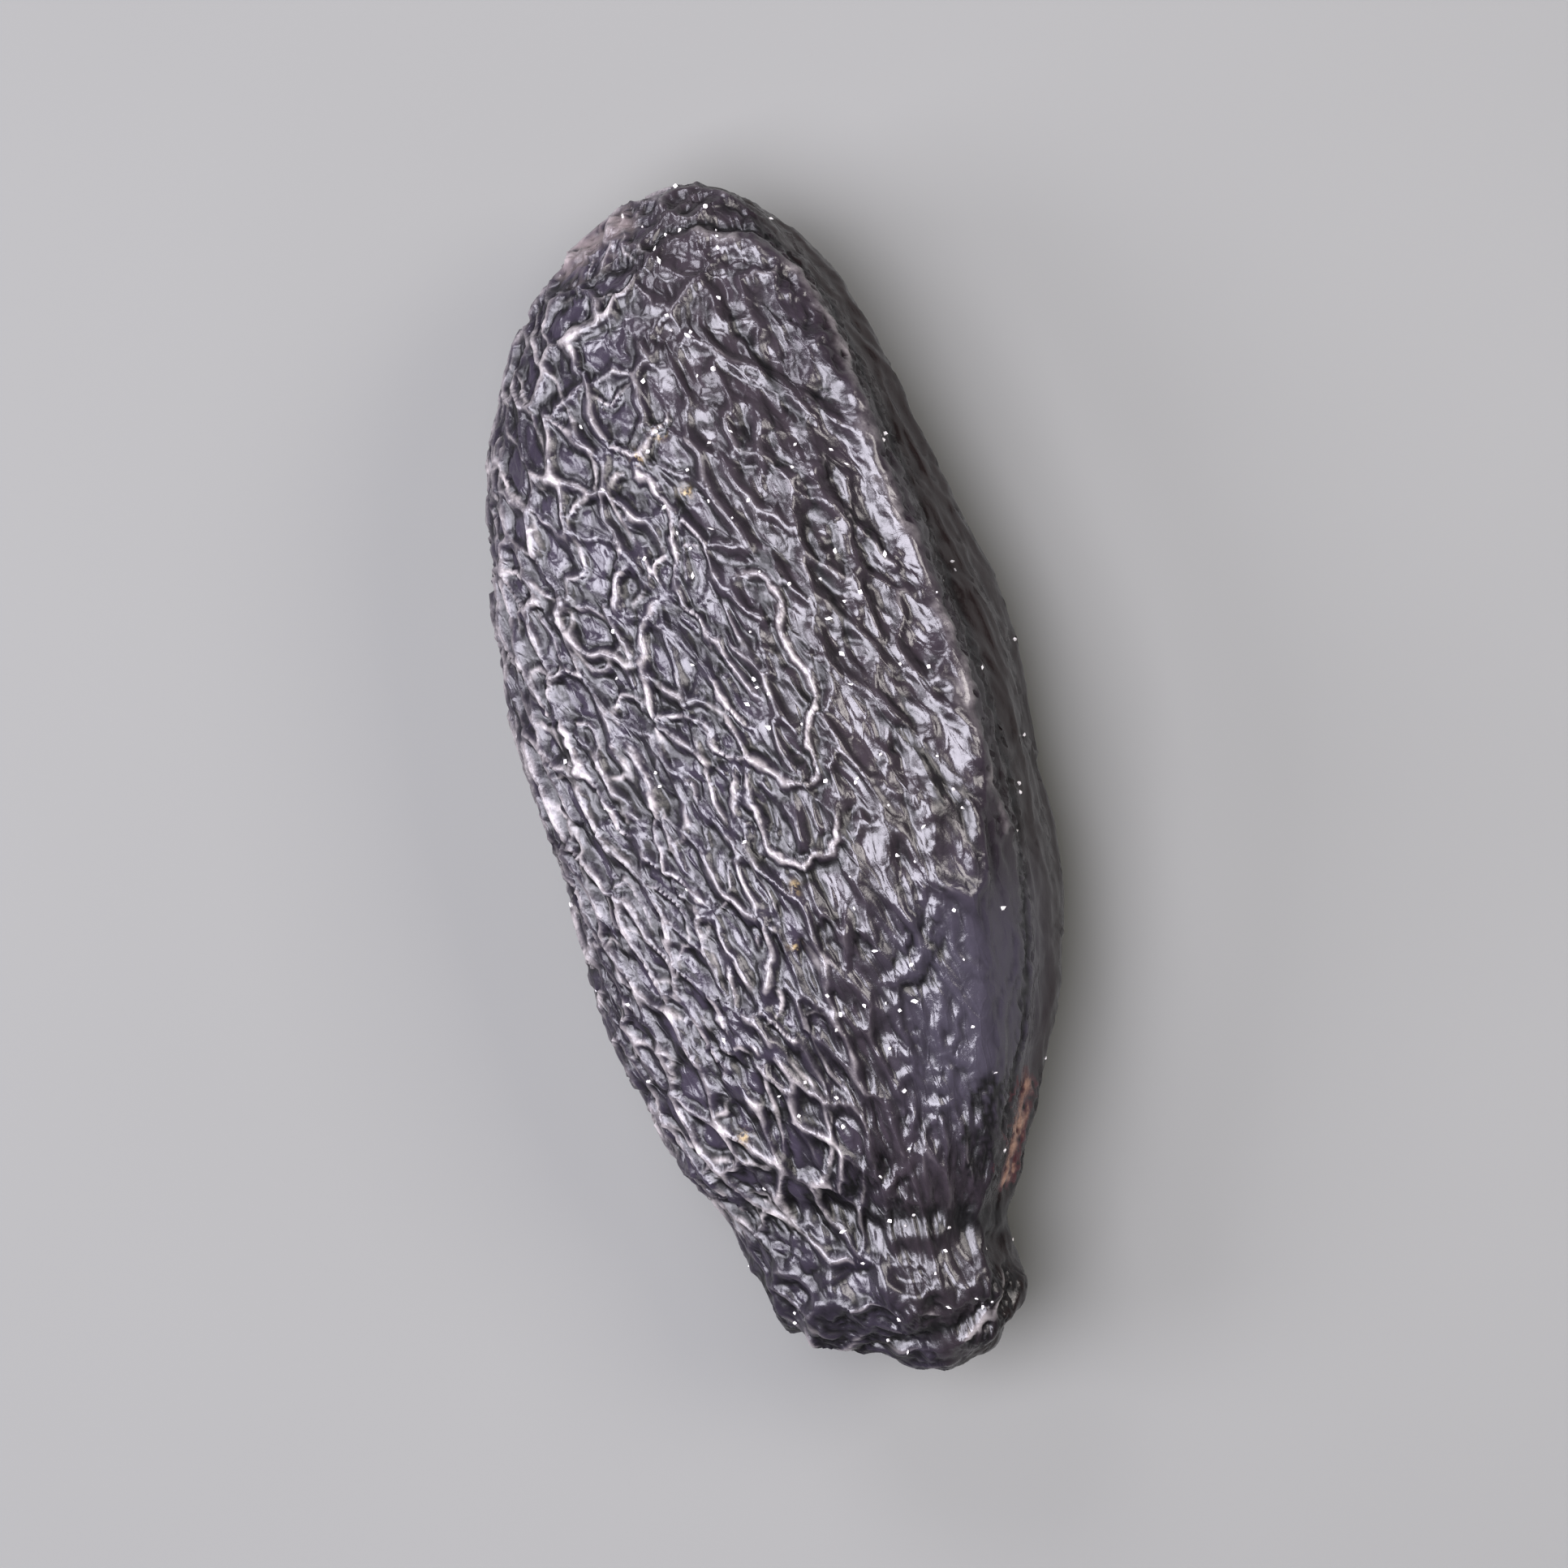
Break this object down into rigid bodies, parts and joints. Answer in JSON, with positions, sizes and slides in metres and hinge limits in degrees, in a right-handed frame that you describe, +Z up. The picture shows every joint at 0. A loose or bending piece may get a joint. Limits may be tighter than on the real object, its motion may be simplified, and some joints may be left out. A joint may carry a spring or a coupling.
{
  "type": "tonka bean",
  "caption": "Dried tonka bean used as a spice: a long flattened seed with a blunt knob at one end, a smooth flank and a raised net of wrinkles, lying on its broad side",
  "frame": {"origin": "under the middle of the bean, on the surface it lies on, at the centre of its box seen from above", "axes": "+X along the bean from the knob to the round end, +Z up through its thickness, -Y towards the smooth flank"},
  "size_m": [0.0364, 0.0154, 0.0106],
  "materials": {
    "seed_coat": "near-black wrinkled seed coat with a waxy satin gloss and a grey bloom"
  },
  "bodies": {
    "root": {"tonka_bean": "seed_coat"}
  },
  "joints": []
}
